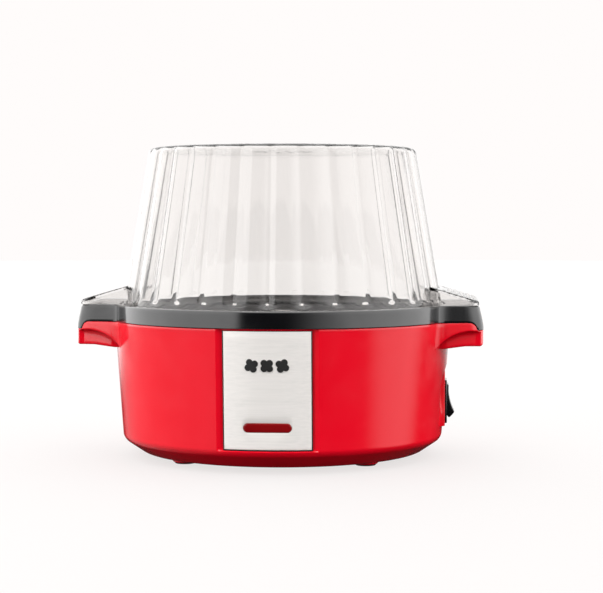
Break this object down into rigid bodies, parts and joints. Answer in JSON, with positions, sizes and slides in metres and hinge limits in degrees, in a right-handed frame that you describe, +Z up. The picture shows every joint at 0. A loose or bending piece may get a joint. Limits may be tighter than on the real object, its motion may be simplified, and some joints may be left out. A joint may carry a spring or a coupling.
{
  "type": "popcorn maker",
  "caption": "Countertop popcorn maker: round glossy base with side handles, heated plate with motor-driven stirring rod, and a clear fluted dome that inverts to a bowl.",
  "frame": {"origin": "on the table, under the middle of the base", "axes": "+Z up, +X towards the side with the switch, front panel towards -Y"},
  "size_m": [0.3078, 0.26, 0.235],
  "materials": {
    "red_plastic": "high gloss moulded red",
    "black_plastic": "gloss black",
    "clear_plastic": "clear, polished, fluted",
    "brushed_steel": "fine brushed, light",
    "badge_black": "printed black",
    "lens_red": "dark translucent red",
    "lamp_glass": "clear glass with an orange glow",
    "seal_rubber": "matt silicone",
    "foot_rubber": "matt dark red rubber",
    "nonstick": "dark non-stick coating, satin",
    "element_steel": "heat-darkened tube",
    "zinc_steel": "zinc plated",
    "bright_steel": "polished wire",
    "shield_aluminium": "mill finish sheet",
    "ceramic_white": "unglazed",
    "bronze": "sintered bronze",
    "pinion_brass": "machined",
    "gear_nylon": "natural nylon",
    "magnet_ferrite": "dark ferrite",
    "coil_copper": "enamelled copper winding",
    "black_matte": "heat-resistant, satin",
    "screw_steel": "blackened",
    "wire_brown": "sleeved",
    "wire_blue": "sleeved"
  },
  "bodies": {
    "base": {"base_housing": "red_plastic", "bottom_cover": "red_plastic", "feet": "red_plastic", "foot_pads": "foot_rubber", "front_panel": "brushed_steel", "panel_trim": "badge_black", "panel_badge": "badge_black", "indicator_lens": "lens_red", "indicator_lamp": "lamp_glass", "rim_collar": "black_plastic", "plate_seal": "seal_rubber", "heating_plate": "nonstick", "heating_element": "element_steel", "element_clips": "zinc_steel", "plate_spacers": "zinc_steel", "heat_shield": "shield_aluminium", "thermostat": "ceramic_white", "thermal_fuse": "ceramic_white", "shaft_bush": "bronze", "idler_axle": "bright_steel", "rotor_axle": "bright_steel", "stator_coil": "coil_copper", "motor_can": "zinc_steel", "gearbox_case": "gear_nylon", "gearbox_cover": "gear_nylon", "motor_bracket": "zinc_steel", "switch_body": "black_plastic", "switch_pin": "bright_steel", "terminal_block": "gear_nylon", "cord_gland": "black_matte", "gland_nut": "black_matte", "live_wires": "wire_brown", "neutral_wires": "wire_blue", "cover_screws": "screw_steel", "motor_screws": "screw_steel", "bracket_screws": "screw_steel", "shield_screws": "screw_steel", "collar_screws": "screw_steel"},
    "dome": {"dome": "clear_plastic"},
    "drive": {"drive_shaft": "bright_steel", "output_gear": "gear_nylon"},
    "stirrer": {"stirrer_hub": "black_matte", "stirring_rod": "bright_steel", "stirrer_cap": "bright_steel"},
    "idler": {"idler_gear": "gear_nylon"},
    "rotor": {"rotor_pinion": "pinion_brass", "rotor_magnet": "magnet_ferrite"},
    "switch_rocker": {"rocker": "black_plastic"}
  },
  "joints": [
    {"name": "dome_lift", "type": "slide", "parent": "base", "child": "dome", "axis": [0, 0, 1], "range_m": [0, 0.16]},
    {"name": "stirrer_spin", "type": "hinge", "parent": "base", "child": "drive", "pos_m": [0, 0, 0.045], "axis": [0, 0, 1], "continuous": true},
    {"name": "stirrer_lift", "type": "slide", "parent": "drive", "child": "stirrer", "axis": [0, 0, 1], "range_m": [0, 0.05]},
    {"name": "idler_spin", "type": "hinge", "parent": "base", "child": "idler", "pos_m": [0, 0.03, 0.04], "axis": [0, 0, 1], "continuous": true},
    {"name": "rotor_spin", "type": "hinge", "parent": "base", "child": "rotor", "pos_m": [0, 0.012, 0.03], "axis": [0, 0, 1], "continuous": true},
    {"name": "switch_rock", "type": "hinge", "parent": "base", "child": "switch_rocker", "pos_m": [0.1195, 0, 0.0415], "axis": [0, 1, 0], "range_deg": [0, 24]}
  ],
  "couplings": [
    {"joint": "idler_spin", "follows": "stirrer_spin", "ratio": -3.2857},
    {"joint": "rotor_spin", "follows": "stirrer_spin", "ratio": 7.9796}
  ]
}
